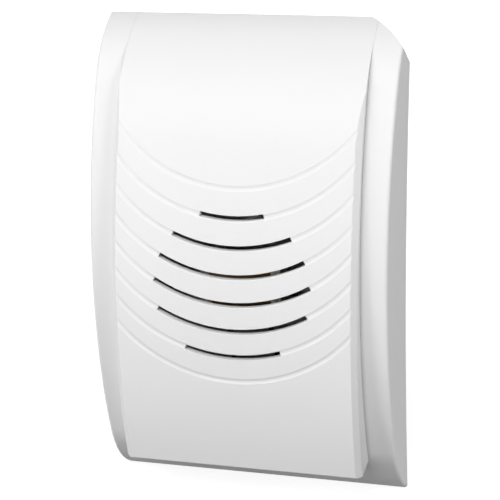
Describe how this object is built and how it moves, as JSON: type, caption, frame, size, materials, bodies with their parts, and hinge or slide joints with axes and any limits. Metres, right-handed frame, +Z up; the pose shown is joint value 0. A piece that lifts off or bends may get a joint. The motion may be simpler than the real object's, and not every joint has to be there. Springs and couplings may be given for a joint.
{
  "type": "door chime",
  "caption": "Wall-mounted wired door chime: bowed oblong casing with a raised front tongue, arched sound slots and a coil-driven plunger between two tone bars.",
  "frame": {"origin": "middle of the casing's height and width, on the wall face", "axes": "+X to the viewer's right, -Y out of the wall towards the viewer, +Z up"},
  "size_m": [0.085, 0.0312, 0.135],
  "materials": {
    "casing_plastic": "satin white moulding",
    "panel_plastic": "satin white moulding",
    "plate_plastic": "matt white moulding",
    "grommet_rubber": "matt black",
    "plated_steel": "zinc plated",
    "bobbin_nylon": "natural nylon",
    "winding_copper": "enamelled copper wire",
    "tape_film": "amber film",
    "plunger_steel": "turned",
    "striker_nylon": "natural nylon",
    "spring_steel": "drawn wire",
    "bar_steel": "nickel plated",
    "bush_rubber": "matt dark grey",
    "clip_steel": "spring steel",
    "block_plastic": "pale grey moulding",
    "sleeve_brass": "drawn",
    "screw_steel": "zinc plated",
    "lead_grey": "smooth insulation",
    "lead_blue": "smooth insulation"
  },
  "bodies": {
    "base": {"back_plate": "plate_plastic", "cable_grommet": "grommet_rubber", "coil_yoke": "plated_steel", "coil_bobbin": "bobbin_nylon", "coil_winding": "winding_copper", "coil_tape": "tape_film", "return_spring": "spring_steel", "tone_bar_left": "bar_steel", "tone_bar_right": "bar_steel", "tone_bar_bushes": "bush_rubber", "tone_bar_clips": "clip_steel", "terminal_block": "block_plastic", "terminal_sleeves": "sleeve_brass", "terminal_screws": "screw_steel", "fixing_screws": "screw_steel", "coil_lead_left": "lead_grey", "coil_lead_right": "lead_blue"},
    "cover": {"cover_frame": "casing_plastic", "front_panel": "panel_plastic"},
    "plunger": {"plunger_core": "plunger_steel", "striker_tip_left": "striker_nylon", "striker_tip_right": "striker_nylon"}
  },
  "joints": [
    {"name": "cover_pull", "type": "slide", "parent": "base", "child": "cover", "axis": [0, -1, 0], "range_m": [0, 0.045]},
    {"name": "plunger_slide", "type": "slide", "parent": "base", "child": "plunger", "axis": [1, 0, 0], "range_m": [-0.0029, 0.0029], "stiffness_N_per_m": 60, "deforming": ["return_spring"]}
  ]
}
